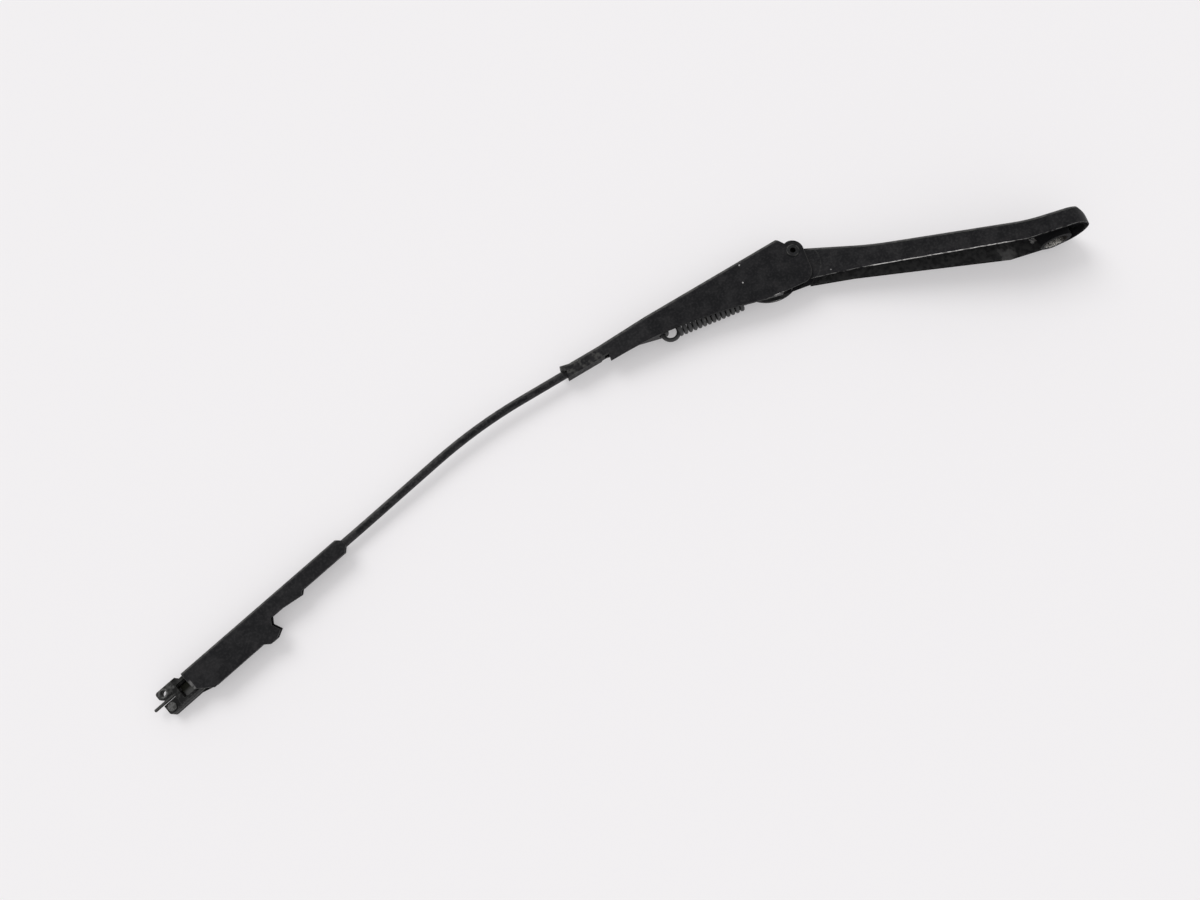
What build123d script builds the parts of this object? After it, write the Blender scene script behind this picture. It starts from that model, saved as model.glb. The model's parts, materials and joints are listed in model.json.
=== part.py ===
from build123d import *
import os
from math import atan2, cos, pi, radians, sin, tan

# Wiper arm lying on its far side, in millimetres.
# The origin is on the spindle axis, in the hub's stud hole. +X points from the arm to the round
# spindle end, +Y is the spindle axis towards the arm's top, and +Z is across the arm.

# Gaps between pieces
RUNNING_GAP = 0.05
SEAT_GAP = 0.03
SWING_GAP = 0.4
HOOK_GAP = 0.6

# Head: a hollow pressing, open underneath, wide and round at the spindle
HEAD_REACH = 136.1
HINGE_RISE = 30.2
HEAD_WIDTH = 28.0
HEAD_WALL = 2.0
HEAD_BEND = 2.4
HEAD_TOP = 3.2
PLATEAU_BACK = 16.2
PLATEAU_FILLET = 80.0
CROWN_SLOPE = 12.0
CROWN_KNEE_BACK = 95.2
CROWN_ROOT_SLOPE = 18.0
KNEE_FILLET = 200.0
HEAD_RIM = -7.1
RIM_FLAT_BACK = 20.2
RIM_SLOPE = 10.9
RIM_KNEE_BACK = 105.2
RIM_ROOT_SLOPE = 8.0
NOSE_CENTRE = 5.0
NOSE_TOP = 11.6
NOSE_LEAN = 42.0
NOSE_FILLET = 2.0
FLARE_BACK = 15.2
FLARE_FILLET = 150.0

# Tongue of the head, between the ears of the channel
KNUCKLE_RADIUS = 5.7
TONGUE_ROOT = 4.0
TONGUE_NECK = 2.0
TONGUE_INSET = 1.0
LOBE_RADIUS = 4.2

# Spindle hub: serrated taper, then a stud hole
HUB_DIAMETER = 16.6
HUB_SPIGOT = 13.0
HUB_PROUD = 0.5
MOUTH_PROUD = 2.2
MOUTH_DIAMETER = 12.8
TAPER_END_DIAMETER = 10.6
TAPER_LENGTH = 8.5
STUD_HOLE = 8.4
SERRATIONS = 32
SERRATION_DEPTH = 0.6

# Hinge pin and its flanged bushes
PIN_DIAMETER = 5.0
PIN_HEAD = 7.0
PIN_HEAD_HEIGHT = 0.7
PIN_HOLLOW = 3.0
PIN_HOLLOW_DEPTH = 3.5
BUSH_WALL = 1.2
BUSH_FLANGE = 0.4
BUSH_FLANGE_DIAMETER = 11.0
BUSH_LENGTH = 4.2

# Tension spring, hooked to the rod, and the flat link that ties it to the head
SPRING_WIRE = 2.3
SPRING_DIAMETER = 7.3
COIL_GAP = 0.45
SPRING_TURNS = 13.75
HOOK_RADIUS = 4.5
LOOP_RADIUS = 3.6
LOOP_SWEEP = 325.0
HOOK_BACK = 76.3
HOOK_DROP = 19.8
LINK_BACK = 9.3
LINK_DROP = 14.0
LINK_PIN = 4.0
LINK_PLATE = 2.6
LINK_SIDE_GAP = 0.7
LINK_RIM = 1.5
LINK_EYE = 5.4
LINK_SLOT_RADIUS = 11.0

# Channel: pressed sheet over the spring, tapering to a collar crimped on the rod
CHANNEL_SHEET = 1.4
CHANNEL_SIDE_GAP = 0.8
CHANNEL_LENGTH = 138.2
CHANNEL_BEND = 2.4
WEB_BACK = 6.7
WEB_UP = 9.4
WEB_SLOPE = 13.7
WEB_LIP = 5.0
EAR_RADIUS = 6.0
EAR_SPLIT = 118.0
EAR_DEPTH = 18.0
EAR_CORNER = 7.0
EAR_LENGTH = 21.6
EAR_EDGE_SLOPE = 7.4
ARCH_RISE = 3.4
SKIRT_DROP = 27.4
RELIEF_WIDTH = 4.0
RELIEF_HEIGHT = 0.5
COLLAR_LENGTH = 22.7
COLLAR_FLAP = 0.9
COLLAR_SEAM = 0.5
LIP_LENGTH = 2.7
LIP_DEPTH = 3.8
NECK_LENGTH = 28.0
NECK_FILLET = 40.0
FAR_SKIRT_UP = 4.4
FAR_EAR_RADIUS = 20.0
FAR_EAR_LENGTH = 25.5

# Rod: round bar with a flat eye in the channel and a flat end in the tip
ROD_DIAMETER = 4.5
TIP_SLOPE = 24.6
ROD_BEND_RADIUS = 280.0
ROD_KNEE_RUN = 10.0
ROD_KNEE_RADIUS = 60.0
ROD_FIRST_RUN = 52.4
ROD_SECOND_RUN = 89.2
ROD_SET_RUN = 16.0
ROD_SET_RADIUS = 80.0
EYE_WIDTH = 8.0
EYE_THICKNESS = 2.8
EYE_LENGTH = 15.0
EYE_RIM = 1.7
EYE_SET = 1.2
FLAT_SIDE_GAP = 0.2
FLAT_THICKNESS = 3.0
FLAT_START = 7.0
FLAT_LENGTH = 34.0

# Tip channel: sizes along the rod's last run, and down from its axis
TIP_WIDTH = 10.0
TIP_SHEET = 1.2
TIP_BEND = 1.8
TIP_LENGTH = 99.4
TIP_DOWN = 5.3
TIP_CHAMFER = 2.8
BULGE_START = 30.3
BULGE_RUN = 2.0
BULGE_DOWN = 7.1
BULGE_END = 44.0
NOTCH_DOWN = 5.4
NOTCH_END = 50.2
HEEL_REACH = 1.9
HEEL_DOWN = 8.5
TAB_DOWN = 15.5
TAB_CORNER = 4.2
TAB_LENGTH = 3.6
SKIRT_DOWN = 13.2
SKIRT_START = 61.0
SKIRT_END = 91.0
FAR_TIP_UP = 2.2
WALL_CUT = 7.8
WALL_CUT_DOWN = 7.2

# Flush rivets that hold the rod in the tip channel
TIP_RIVET = 3.0
TIP_RIVET_HEAD = 5.0
TIP_RIVET_TAIL = 0.8
TIP_RIVET_PITCH = 18.0

# Coupler for the blade, in the end of the tip channel
COUPLER_LENGTH = 115.2
COUPLER_DOWN = 8.8
PLUG_LENGTH = 27.0
CROSS_WALL = 3.0
POCKET_LENGTH = 10.6
POCKET_FLOOR = 2.0
POCKET_WALL = 1.6
LUG_LENGTH = 7.4
LUG_WIDTH = 5.4
LUG_UP = 4.7
LUG_ROUND = 1.4
LUG_BACK_GAP = 0.6
LUG_RAMP = 3.4
SLOT_DOWN = 3.0
SLOT_WIDTH = 3.0
BLADE_HOLE = 3.2
BLADE_HOLE_BACK = 3.2
LUG_RIVET = 2.6
LUG_RIVET_HEAD = 4.4
LUG_RIVET_RISE = 0.5
LUG_RIVET_BACK = 2.8
LUG_RIVET_DOWN = 5.9
PEG_DIAMETER = 1.6
PEG_OUT = 5.2
PEG_SEAT = 3.4

# Places that follow from the sizes
CHANNEL_INSIDE = SPRING_DIAMETER + SPRING_WIRE + 2 * CHANNEL_SIDE_GAP
CHANNEL_WIDTH = CHANNEL_INSIDE + 2 * CHANNEL_SHEET
TONGUE_WIDTH = CHANNEL_INSIDE - 2 * (BUSH_FLANGE + RUNNING_GAP)
TABLE = -HEAD_WIDTH / 2
ARM_Z = TABLE + CHANNEL_WIDTH / 2
TIP_Z = TABLE + TIP_WIDTH / 2
HINGE = Vector(-HEAD_REACH, HINGE_RISE)
SHOULDER_X = HINGE.X + EAR_RADIUS + SWING_GAP
LONG = 4 * HEAD_REACH


def rise(run, slope):
    return run * tan(radians(slope))


def heading(slope):
    """Direction of a run towards the tip that falls by the slope."""
    return Vector(-cos(radians(slope)), -sin(radians(slope)))


def from_hinge(back, up):
    """Point in the side view, measured from the hinge pin."""
    return Vector(HINGE.X - back, HINGE.Y + up)


def web_up(back):
    """Height of the channel's crown line over the hinge pin."""
    return WEB_UP - rise(back - WEB_BACK, WEB_SLOPE)


def rod_up(back):
    """Height over the hinge pin of the rod's axis, where the rod lies against the web."""
    return web_up(back) - (CHANNEL_SHEET + SEAT_GAP + ROD_DIAMETER / 2) / cos(radians(WEB_SLOPE))


def rod_under(back, below):
    """Height over the hinge pin of a line under the rod's axis, in its first run."""
    return rod_up(back) - below / cos(radians(WEB_SLOPE))


LINK_AT = from_hinge(LINK_BACK, -LINK_DROP)
HOOK_AT = from_hinge(HOOK_BACK, -HOOK_DROP)
SPRING_LINE = (LINK_AT - HOOK_AT).normalized()
SPRING_PITCH = SPRING_WIRE + COIL_GAP
COIL_RADIUS = SPRING_DIAMETER / 2
COIL_LENGTH = SPRING_PITCH * SPRING_TURNS
COIL_LEAN = atan2(SPRING_PITCH, pi * SPRING_DIAMETER)
COIL_START = HOOK_AT + SPRING_LINE * (HOOK_RADIUS * cos(COIL_LEAN))
COIL_END = COIL_START + SPRING_LINE * COIL_LENGTH
LOOP_FAR = COIL_END + SPRING_LINE * (LOOP_RADIUS * (1 + cos(COIL_LEAN)))
HOOK_HOLE = SPRING_WIRE + 2 * HOOK_GAP

ROD_RADIUS = ROD_DIAMETER / 2
EYE_AT = HOOK_AT - SPRING_LINE * HOOK_RADIUS
ROD_START = EYE_AT + Vector(0, EYE_SET)
CHANNEL_END = HINGE.X - CHANNEL_LENGTH
COLLAR_BACK = CHANNEL_LENGTH - COLLAR_LENGTH
ROD_KNEE = from_hinge(COLLAR_BACK - ROD_KNEE_RUN, rod_up(COLLAR_BACK - ROD_KNEE_RUN))
EYE_LINE = (ROD_KNEE - ROD_START).normalized()
ROD_CORNER = from_hinge(CHANNEL_LENGTH, rod_up(CHANNEL_LENGTH)) + heading(WEB_SLOPE) * ROD_FIRST_RUN
TIP_LINE = heading(TIP_SLOPE)
TIP_START = ROD_CORNER + TIP_LINE * ROD_SECOND_RUN
TIP_PLACE = Plane(
    origin=(TIP_START.X, TIP_START.Y, TIP_Z), x_dir=(TIP_LINE.X, TIP_LINE.Y, 0), z_dir=(0, 0, -1)
).location
TIP_INSIDE = TIP_WIDTH - 2 * TIP_SHEET
TIP_CEILING = ROD_RADIUS + SEAT_GAP
TIP_UP = TIP_CEILING + TIP_SHEET
LUG_START = COUPLER_LENGTH - LUG_LENGTH
SLOT_UP = SLOT_WIDTH - SLOT_DOWN
LUG_RIVET_AT = (COUPLER_LENGTH - LUG_RIVET_BACK, -LUG_RIVET_DOWN)
BLADE_HOLE_AT = (COUPLER_LENGTH - BLADE_HOLE_BACK, (LUG_UP + SLOT_UP) / 2)
FLAT_MIDDLE = FLAT_START + FLAT_LENGTH / 2
TIP_RIVETS = {"inner": FLAT_MIDDLE - TIP_RIVET_PITCH / 2, "outer": FLAT_MIDDLE + TIP_RIVET_PITCH / 2}


def outline(*points):
    return make_face(Polyline(*points, close=True))


def rounded(face, radius, *points):
    """Face with the corners at these points rounded."""
    for point in points:
        corner = face.vertices().sort_by_distance(Vector(*point))[0]
        face = fillet(corner, radius)
    return face


def slab(face, low, high):
    """Side-view face made solid between two heights across the arm."""
    return extrude(Pos(0, 0, low) * face, high - low, dir=(0, 0, 1))


def tower(face):
    """Plan-view face made solid far above and below the arm."""
    return extrude(Plane.XZ * face, LONG, both=True)


def cross_hole(place, diameter):
    """Cylinder across the arm at a point of the side view."""
    return Pos(place.X, place.Y, ARM_Z) * Cylinder(diameter / 2, 2 * HEAD_WIDTH)


def crown_edges(solid):
    """Edges between the upward faces and the side walls."""
    edges = ShapeList()
    for face in solid.faces():
        if face.normal_at().Y > 0.5:
            edges += face.edges().filter_by(Axis.Z, reverse=True)
    return edges


def crown_line(drop):
    """Corners of the head's top line, lowered by drop, from the hinge to the foot of the nose."""
    knee = HEAD_TOP + rise(CROWN_KNEE_BACK - PLATEAU_BACK, CROWN_SLOPE)
    root = knee + rise(-SHOULDER_X - CROWN_KNEE_BACK, CROWN_ROOT_SLOPE)
    foot = NOSE_TOP + (HEAD_TOP - HEAD_RIM) / tan(radians(NOSE_LEAN))
    return [
        Vector(SHOULDER_X, root - drop),
        Vector(-CROWN_KNEE_BACK, knee - drop),
        Vector(-PLATEAU_BACK, HEAD_TOP - drop),
        Vector(NOSE_TOP, HEAD_TOP - drop),
        Vector(foot, HEAD_RIM - drop),
    ]


def rim_line():
    """Corners of the head's lower edge, from the spindle end to the hinge."""
    knee = HEAD_RIM + rise(RIM_KNEE_BACK - RIM_FLAT_BACK, RIM_SLOPE)
    root = knee + rise(-SHOULDER_X - RIM_KNEE_BACK, RIM_ROOT_SLOPE)
    return [Vector(-RIM_FLAT_BACK, HEAD_RIM), Vector(-RIM_KNEE_BACK, knee), Vector(SHOULDER_X, root)]


def head_side(drop, underside):
    """Side view of the head, from its lowered crown line to an underside."""
    crown = crown_line(drop)
    face = outline(*crown, *underside)
    face = rounded(face, KNEE_FILLET, crown[1])
    face = rounded(face, PLATEAU_FILLET, crown[2])
    return rounded(face, NOSE_FILLET, crown[3])


def head_plan(inset):
    """Plan of the head: straight far wall, round spindle end, flared near wall."""
    far = TABLE + inset
    near = -far
    start = SHOULDER_X + inset
    near_start = ARM_Z + TONGUE_WIDTH / 2 - inset
    flare = (-FLARE_BACK, near)
    edge = Polyline(flare, (start, near_start), (start, far), (NOSE_CENTRE, far))
    edge += ThreePointArc((NOSE_CENTRE, far), (NOSE_CENTRE + near, 0), (NOSE_CENTRE, near))
    edge += Line((NOSE_CENTRE, near), flare)
    return rounded(make_face(edge), FLARE_FILLET, flare)


def tongue_side():
    """Side view of the tongue: knuckle on the pin, lobe on the link pin, root in the head."""
    root_x = SHOULDER_X + TONGUE_ROOT
    top = crown_line(HEAD_WALL / 2)[0].Y - rise(TONGUE_ROOT, CROWN_ROOT_SLOPE)
    low = rim_line()[-1].Y - rise(TONGUE_ROOT, RIM_ROOT_SLOPE) + TONGUE_INSET
    root = Line((root_x, low), (root_x, top))
    lobe = Pos(LINK_AT) * Circle(LOBE_RADIUS)
    neck = Pos(HINGE) * Circle(TONGUE_NECK)
    return make_hull(lobe.edges() + neck.edges() + ShapeList([root])) + Pos(HINGE) * Circle(KNUCKLE_RADIUS)


def arm_head():
    outer = slab(head_side(0, rim_line()), TABLE, -TABLE) & tower(head_plan(0))
    outer = fillet(crown_edges(outer), HEAD_BEND)
    foot = crown_line(0)[-1].X
    inside = head_side(HEAD_WALL, [(foot, -LONG), (SHOULDER_X, -LONG)])
    head = outer - (slab(inside, TABLE, -TABLE) & tower(head_plan(HEAD_WALL)))
    head += slab(tongue_side(), ARM_Z - TONGUE_WIDTH / 2, ARM_Z + TONGUE_WIDTH / 2)
    slot = Cylinder(LINK_SLOT_RADIUS, LINK_PLATE + 2 * LINK_SIDE_GAP)
    head -= Pos(LINK_AT.X, LINK_AT.Y, ARM_Z) * slot
    head -= cross_hole(LINK_AT, LINK_PIN + 2 * SEAT_GAP)
    head -= cross_hole(HINGE, PIN_DIAMETER + 2 * (RUNNING_GAP + BUSH_WALL + SEAT_GAP))
    head -= Rot(X=90) * Cylinder(HUB_SPIGOT / 2 + SEAT_GAP, 2 * HEAD_WIDTH)
    return head


def serrated_ring(height, diameter):
    """Outline of the serrated bore, its tooth tips pointing inwards."""
    points = []
    for step in range(2 * SERRATIONS):
        radius = diameter / 2 - SERRATION_DEPTH * (step % 2)
        angle = pi * step / SERRATIONS
        points.append((radius * cos(angle), radius * sin(angle)))
    return Plane(origin=(0, height, 0), x_dir=(1, 0, 0), z_dir=(0, 1, 0)) * outline(*points)


def spindle_hub():
    mouth = HEAD_RIM - MOUTH_PROUD
    seat = HEAD_TOP - HEAD_WALL - SEAT_GAP
    top = HEAD_TOP + HUB_PROUD
    section = outline(
        (STUD_HOLE / 2, mouth),
        (HUB_DIAMETER / 2, mouth),
        (HUB_DIAMETER / 2, seat),
        (HUB_SPIGOT / 2, seat),
        (HUB_SPIGOT / 2, top),
        (STUD_HOLE / 2, top),
    )
    hub = revolve(section, Axis.Y)
    wide = serrated_ring(mouth, MOUTH_DIAMETER)
    narrow = serrated_ring(mouth + TAPER_LENGTH, TAPER_END_DIAMETER)
    return hub - loft([wide, narrow], ruled=True)


def hinge_pin():
    low = TABLE
    face = ARM_Z + CHANNEL_WIDTH / 2
    top = face + PIN_HEAD_HEIGHT
    section = outline(
        (0, low),
        (PIN_DIAMETER / 2, low),
        (PIN_DIAMETER / 2, face),
        (PIN_HEAD / 2, face),
        (PIN_HEAD / 2, top - PIN_HEAD_HEIGHT / 2),
        (PIN_HEAD / 2 - PIN_HEAD_HEIGHT / 2, top),
        (PIN_HOLLOW / 2, top),
        (PIN_HOLLOW / 2, top - PIN_HOLLOW_DEPTH),
        (0, top - PIN_HOLLOW_DEPTH),
    )
    return Pos(HINGE) * revolve(Plane.XZ * section, Axis.Z)


def hinge_bush(turn):
    """Flanged bush in the tongue, turned to the near or the far side."""
    inner = PIN_DIAMETER / 2 + RUNNING_GAP
    foot = (Align.CENTER, Align.CENTER, Align.MIN)
    bush = Pos(0, 0, -BUSH_LENGTH) * Cylinder(inner + BUSH_WALL, BUSH_LENGTH, align=foot)
    bush += Cylinder(BUSH_FLANGE_DIAMETER / 2, BUSH_FLANGE, align=foot)
    bush -= Cylinder(inner, 4 * BUSH_LENGTH)
    return Pos(HINGE.X, HINGE.Y, ARM_Z) * Rot(X=turn) * Pos(0, 0, TONGUE_WIDTH / 2) * bush


def link_pin():
    return Pos(LINK_AT.X, LINK_AT.Y, ARM_Z) * Cylinder(LINK_PIN / 2, TONGUE_WIDTH)


def channel_side():
    """Side view of the channel: crown, ears, arched skirt, relief notch and collar."""
    collar = COLLAR_BACK
    relief = collar - RELIEF_WIDTH
    lip = CHANNEL_LENGTH - WEB_LIP
    wall_end = CHANNEL_LENGTH - LIP_LENGTH
    under = ROD_RADIUS + SEAT_GAP + COLLAR_FLAP
    ear_low = EAR_DEPTH + rise(EAR_RADIUS + EAR_LENGTH, EAR_EDGE_SLOPE)
    split = radians(EAR_SPLIT)
    hump = from_hinge(-EAR_RADIUS * cos(split), EAR_RADIUS * sin(split))
    front = from_hinge(-EAR_RADIUS, 0)
    heel = from_hinge(-EAR_RADIUS, -EAR_DEPTH)
    ear_end = from_hinge(EAR_LENGTH, -ear_low)
    skirt_end = from_hinge(relief, -SKIRT_DROP)
    arch_top = (ear_end + skirt_end) / 2 + Vector(0, ARCH_RISE)
    end_top = from_hinge(CHANNEL_LENGTH, web_up(lip))
    edge = Polyline(end_top, from_hinge(lip, web_up(lip)), from_hinge(WEB_BACK, WEB_UP), hump)
    edge += ThreePointArc(hump, from_hinge(0, EAR_RADIUS), front)
    edge += Polyline(front, heel, ear_end)
    edge += ThreePointArc(ear_end, arch_top, skirt_end)
    edge += Polyline(
        skirt_end,
        from_hinge(relief, rod_under(relief, under) + RELIEF_HEIGHT),
        from_hinge(collar, rod_under(collar, under) + RELIEF_HEIGHT),
        from_hinge(collar, rod_under(collar, under)),
        from_hinge(wall_end, rod_under(wall_end, under)),
        from_hinge(wall_end, web_up(lip) - LIP_DEPTH),
        from_hinge(CHANNEL_LENGTH, web_up(lip) - LIP_DEPTH),
        end_top,
    )
    return rounded(make_face(edge), EAR_CORNER, heel)


def band(start, end):
    """Side-view strip below the hinge pin, between two distances behind it."""
    return Pos(from_hinge((start + end) / 2, -LONG / 2)) * Rectangle(end - start, LONG)


def far_cut():
    """What the far wall lacks in side view: the corner of its round ear, then a strip of its skirt."""
    side = channel_side()
    ear = Pos(from_hinge(FAR_EAR_RADIUS - EAR_RADIUS, 0)) * Circle(FAR_EAR_RADIUS)
    corner = band(-EAR_RADIUS, FAR_EAR_LENGTH) - ear
    strip = (side - Pos(0, FAR_SKIRT_UP) * side) & band(FAR_EAR_LENGTH, COLLAR_BACK - RELIEF_WIDTH)
    return corner, strip


def channel_plan(inset):
    """Plan of the channel: parallel sides, a neck, then the collar."""
    wide = CHANNEL_WIDTH / 2 - inset
    narrow = ROD_RADIUS + SEAT_GAP + CHANNEL_SHEET - inset
    right = HINGE.X + 2 * EAR_RADIUS
    left = CHANNEL_END - inset
    collar = CHANNEL_END + COLLAR_LENGTH
    neck = collar + NECK_LENGTH
    near = [(right, wide), (neck, wide), (collar, narrow), (left, narrow)]
    far = [(x, -z) for x, z in reversed(near)]
    bends = near[1:3] + far[1:3]
    return Pos(0, ARM_Z) * rounded(outline(*near, *far), NECK_FILLET, *bends)


def channel_hollow():
    """Side view of the hollow: under the web, open at both ends, closed below the collar."""
    collar = COLLAR_BACK - RELIEF_WIDTH / 2
    lip = CHANNEL_LENGTH - WEB_LIP
    past = CHANNEL_LENGTH + WEB_LIP
    under = ROD_RADIUS + SEAT_GAP
    thick = CHANNEL_SHEET / cos(radians(WEB_SLOPE))
    return outline(
        from_hinge(past, web_up(lip) - thick),
        from_hinge(lip, web_up(lip) - thick),
        from_hinge(WEB_BACK, WEB_UP - thick),
        from_hinge(WEB_BACK, LONG),
        from_hinge(-LONG, LONG),
        from_hinge(-LONG, -LONG),
        from_hinge(collar, -LONG),
        from_hinge(collar, rod_under(collar, under)),
        from_hinge(past, rod_under(past, under)),
    )


def arm_channel():
    low = ARM_Z - CHANNEL_WIDTH / 2
    high = ARM_Z + CHANNEL_WIDTH / 2
    outer = slab(channel_side(), low, high) & tower(channel_plan(0))
    upward = outer.faces().filter_by(lambda face: face.normal_at().Y > 0.9)
    web = upward.filter_by(lambda face: face.center().X < HINGE.X - WEB_BACK)
    outer = fillet(web.edges().filter_by(Axis.Z, reverse=True), CHANNEL_BEND)
    channel = outer - (slab(channel_hollow(), low, high) & tower(channel_plan(CHANNEL_SHEET)))
    for cut in far_cut():
        channel -= slab(cut, low, ARM_Z)
    channel -= cross_hole(HINGE, PIN_DIAMETER + 2 * SEAT_GAP)
    seam = from_hinge(CHANNEL_LENGTH, rod_under(CHANNEL_LENGTH, ROD_RADIUS + COLLAR_FLAP))
    below = (Align.CENTER, Align.MAX, Align.CENTER)
    cut = Box(3 * COLLAR_LENGTH, COLLAR_LENGTH, COLLAR_SEAM, align=below)
    channel -= Pos(seam.X, seam.Y, ARM_Z) * cut
    return channel


def coil_place(point):
    """Frame on the spring's axis: its x across the arm, its z along the spring."""
    plane = Plane(origin=(point.X, point.Y, ARM_Z), x_dir=(0, 0, 1), z_dir=(SPRING_LINE.X, SPRING_LINE.Y, 0))
    return plane.location


def end_loop(outward, radius):
    """Paths of a half turn from the coil to its axis, then of the loop beyond the coil."""
    along = Vector(0, cos(COIL_LEAN), sin(COIL_LEAN)) * outward
    start = Vector(COIL_RADIUS, 0, 0)
    half_turn = ThreePointArc(start, start / 2 + along * (COIL_RADIUS / 2), Vector(0, 0, 0))
    out = Vector(0, 0, outward)
    inward = (out - along * out.dot(along)).normalized()
    points = []
    for share in (0, 0.5, 1):
        angle = radians(LOOP_SWEEP) * share
        points.append(inward * (radius * (1 - cos(angle))) - along * (radius * sin(angle)))
    return half_turn, ThreePointArc(*points)


def wire_along(path):
    return sweep(Plane(origin=path @ 0, z_dir=path % 0) * Circle(SPRING_WIRE / 2), path=path, is_frenet=True)


def tension_spring():
    start = coil_place(COIL_START)
    end = coil_place(COIL_END) * Rot(Z=360 * SPRING_TURNS)
    paths = [start * Helix(SPRING_PITCH, COIL_LENGTH, COIL_RADIUS)]
    paths += [start * path for path in end_loop(-1, HOOK_RADIUS)]
    paths += [end * path for path in end_loop(1, LOOP_RADIUS)]
    spring = wire_along(paths[0])
    for path in paths[1:]:
        spring += wire_along(path)
    return spring


def spring_link():
    """Flat link: a hole for the spring's loop, and a hook that hangs on the link pin."""
    place = Plane(origin=(LINK_AT.X, LINK_AT.Y, ARM_Z), x_dir=(SPRING_LINE.X, SPRING_LINE.Y, 0))
    hole = Pos(-(LINK_AT - LOOP_FAR).length, 0)
    tail = hole * Circle(HOOK_HOLE / 2 + LINK_RIM)
    mouth = LINK_PIN + 2 * HOOK_GAP
    face = make_hull(Circle(LINK_EYE).edges() + tail.edges())
    face -= hole * Circle(HOOK_HOLE / 2)
    face -= Circle(mouth / 2)
    face -= Pos(0, -LINK_EYE) * Rectangle(mouth, 2 * LINK_EYE)
    return extrude(place * face, LINK_PLATE / 2, both=True)


def wiper_rod():
    eye_end = ROD_START + EYE_LINE * EYE_LENGTH / 2
    set_start = TIP_START - TIP_LINE * ROD_SET_RUN
    flat_start = TIP_START + TIP_LINE * FLAT_START
    path = FilletPolyline(
        (eye_end.X, eye_end.Y, ARM_Z),
        (ROD_KNEE.X, ROD_KNEE.Y, ARM_Z),
        (ROD_CORNER.X, ROD_CORNER.Y, ARM_Z),
        (set_start.X, set_start.Y, TIP_Z),
        (flat_start.X, flat_start.Y, TIP_Z),
        radius=[ROD_KNEE_RADIUS, ROD_BEND_RADIUS, ROD_SET_RADIUS],
    )
    rod = sweep(Plane(origin=path @ 0, z_dir=path % 0) * Circle(ROD_RADIUS), path=path)
    back = HOOK_HOLE / 2 + EYE_RIM
    eye = Pos((EYE_LENGTH - back) / 2, 0) * RectangleRounded(EYE_LENGTH + back, EYE_WIDTH, EYE_WIDTH / 3)
    eye -= Circle(HOOK_HOLE / 2)
    eye_plane = Plane(
        origin=(EYE_AT.X, EYE_AT.Y, ARM_Z),
        x_dir=(EYE_LINE.X, EYE_LINE.Y, 0),
        z_dir=(-EYE_LINE.Y, EYE_LINE.X, 0),
    )
    rod += extrude(eye_plane * eye, EYE_THICKNESS / 2, both=True)
    flat = Box(FLAT_LENGTH, FLAT_THICKNESS, TIP_INSIDE - 2 * FLAT_SIDE_GAP)
    rod += TIP_PLACE * Pos(FLAT_MIDDLE, ROD_RADIUS - FLAT_THICKNESS / 2) * flat
    for along in TIP_RIVETS.values():
        rod -= TIP_PLACE * Pos(along, 0) * upright(TIP_RIVET / 2 + SEAT_GAP, -TIP_DOWN, TIP_UP)
    return rod


def upright(radius, low, high):
    """Cylinder in the tip's frame, square to its web."""
    return Pos(0, (low + high) / 2) * Rot(X=90) * Cylinder(radius, high - low)


def countersink(gap):
    """Cone in the tip's web, flush with its outside."""
    depth = (TIP_RIVET_HEAD - TIP_RIVET) / 2
    cone = Cone(TIP_RIVET / 2 + gap, TIP_RIVET_HEAD / 2 + gap, depth)
    return Pos(0, TIP_UP - depth / 2) * Rot(X=-90) * cone


def tip_rivet(along):
    low = ROD_RADIUS - FLAT_THICKNESS
    rivet = upright(TIP_RIVET / 2, low, TIP_UP) + countersink(0)
    rivet += upright(TIP_RIVET_HEAD / 2, low - TIP_RIVET_TAIL, low)
    return TIP_PLACE * Pos(along, 0) * rivet


def tip_skirt(lift):
    """Edge of a tip wall, its lower side lifted, from the crown to the end of the skirt."""
    low = [
        (0, TIP_CHAMFER - TIP_DOWN),
        (TIP_CHAMFER, -TIP_DOWN),
        (BULGE_START, -TIP_DOWN),
        (BULGE_START + BULGE_RUN, -BULGE_DOWN),
        (BULGE_END, -NOTCH_DOWN),
        (NOTCH_END, -NOTCH_DOWN),
        (NOTCH_END + HEEL_REACH, -HEEL_DOWN),
        (NOTCH_END, -SKIRT_DOWN),
        (NOTCH_END + TAB_CORNER, -TAB_DOWN),
        (NOTCH_END + TAB_CORNER + TAB_LENGTH, -TAB_DOWN),
        (SKIRT_START, -SKIRT_DOWN),
        (SKIRT_END, -SKIRT_DOWN),
    ]
    front = [(TIP_CHAMFER, TIP_UP), (0, TIP_UP - TIP_CHAMFER)]
    return front + [(along, up + lift) for along, up in low]


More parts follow.
